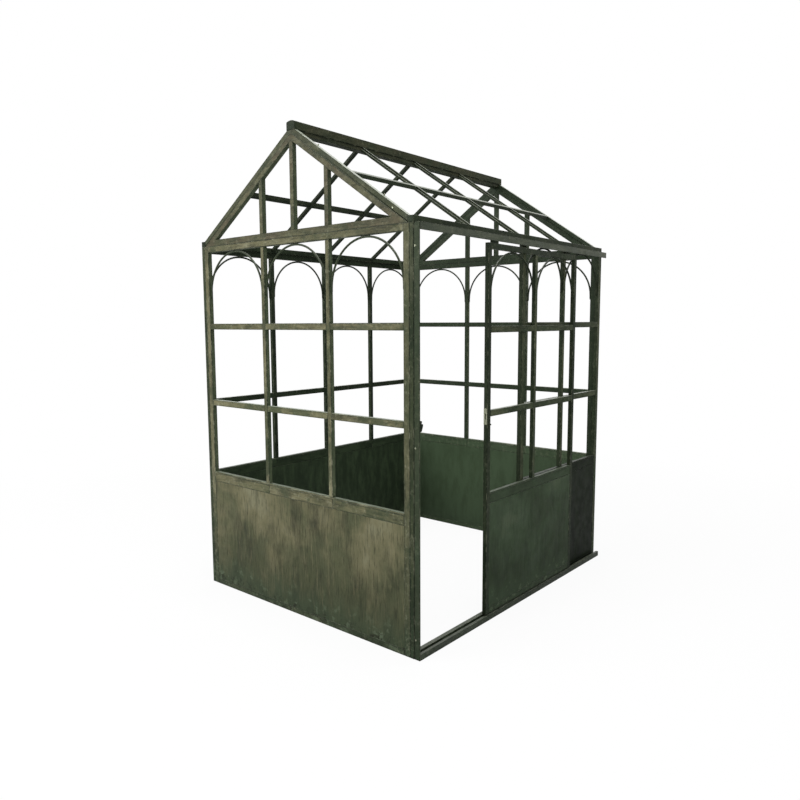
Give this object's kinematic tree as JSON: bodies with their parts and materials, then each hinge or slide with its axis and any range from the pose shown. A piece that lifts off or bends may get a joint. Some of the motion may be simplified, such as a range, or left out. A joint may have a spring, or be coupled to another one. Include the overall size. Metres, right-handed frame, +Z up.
{
  "type": "victorian greenhouse",
  "caption": "Open steel-frame greenhouse with sheet-metal dado walls, arched top lights, a pitched roof frame and a sliding side door.",
  "frame": {"origin": "on the floor, at the middle of the footprint", "axes": "+Z up, the gables face -Y and +Y, and the wall with the sliding door faces +X; the door opens towards +Y"},
  "size_m": [1.618, 1.922, 2.5675],
  "materials": {
    "gable_paint": "matt olive-grey paint, rubbed to tan and streaked",
    "frame_paint": "matt dark green paint, worn at the edges",
    "dado_paint": "matt dark green paint on sheet, mottled",
    "track_paint": "grey-green paint, worn by the door",
    "bare_steel": "worn bare steel"
  },
  "bodies": {
    "house": {"front_gable_left_stile": "gable_paint", "front_gable_right_stile": "gable_paint", "front_gable_top_rail": "gable_paint", "front_gable_glazing_bars": "gable_paint", "front_gable_dado": "gable_paint", "back_gable_left_stile": "gable_paint", "back_gable_right_stile": "gable_paint", "back_gable_top_rail": "gable_paint", "back_gable_glazing_bars": "gable_paint", "back_gable_dado": "gable_paint", "left_wall_front_post": "frame_paint", "left_wall_back_post": "frame_paint", "left_wall_top_rail": "frame_paint", "left_wall_glazing_bars": "frame_paint", "left_wall_dado": "dado_paint", "right_wall_front_post": "frame_paint", "right_wall_back_post": "frame_paint", "right_wall_top_rail": "frame_paint", "doorway_stile": "frame_paint", "doorway_sill": "frame_paint", "right_wall_glazing_bars": "frame_paint", "right_wall_dado": "dado_paint", "doorway_jamb": "gable_paint", "door_keeper": "frame_paint", "head_track": "track_paint", "floor_track": "track_paint", "left_eaves_rail": "frame_paint", "right_eaves_rail": "frame_paint", "front_truss": "gable_paint", "back_truss": "gable_paint", "ridge": "frame_paint", "front_left_end_rafter": "gable_paint", "front_right_end_rafter": "gable_paint", "back_left_end_rafter": "gable_paint", "back_right_end_rafter": "gable_paint", "left_roof_bars": "frame_paint", "right_roof_bars": "frame_paint"},
    "door": {"door_leading_stile": "frame_paint", "door_trailing_stile": "frame_paint", "door_top_rail": "frame_paint", "door_glazing_bars": "frame_paint", "door_panel": "dado_paint", "door_front_roller": "bare_steel", "door_back_roller": "bare_steel", "lock_plate": "bare_steel", "door_knob": "frame_paint"}
  },
  "joints": [
    {"name": "door_slide", "type": "slide", "parent": "house", "child": "door", "axis": [0, 1, 0], "range_m": [-0.533, 0.385]}
  ]
}
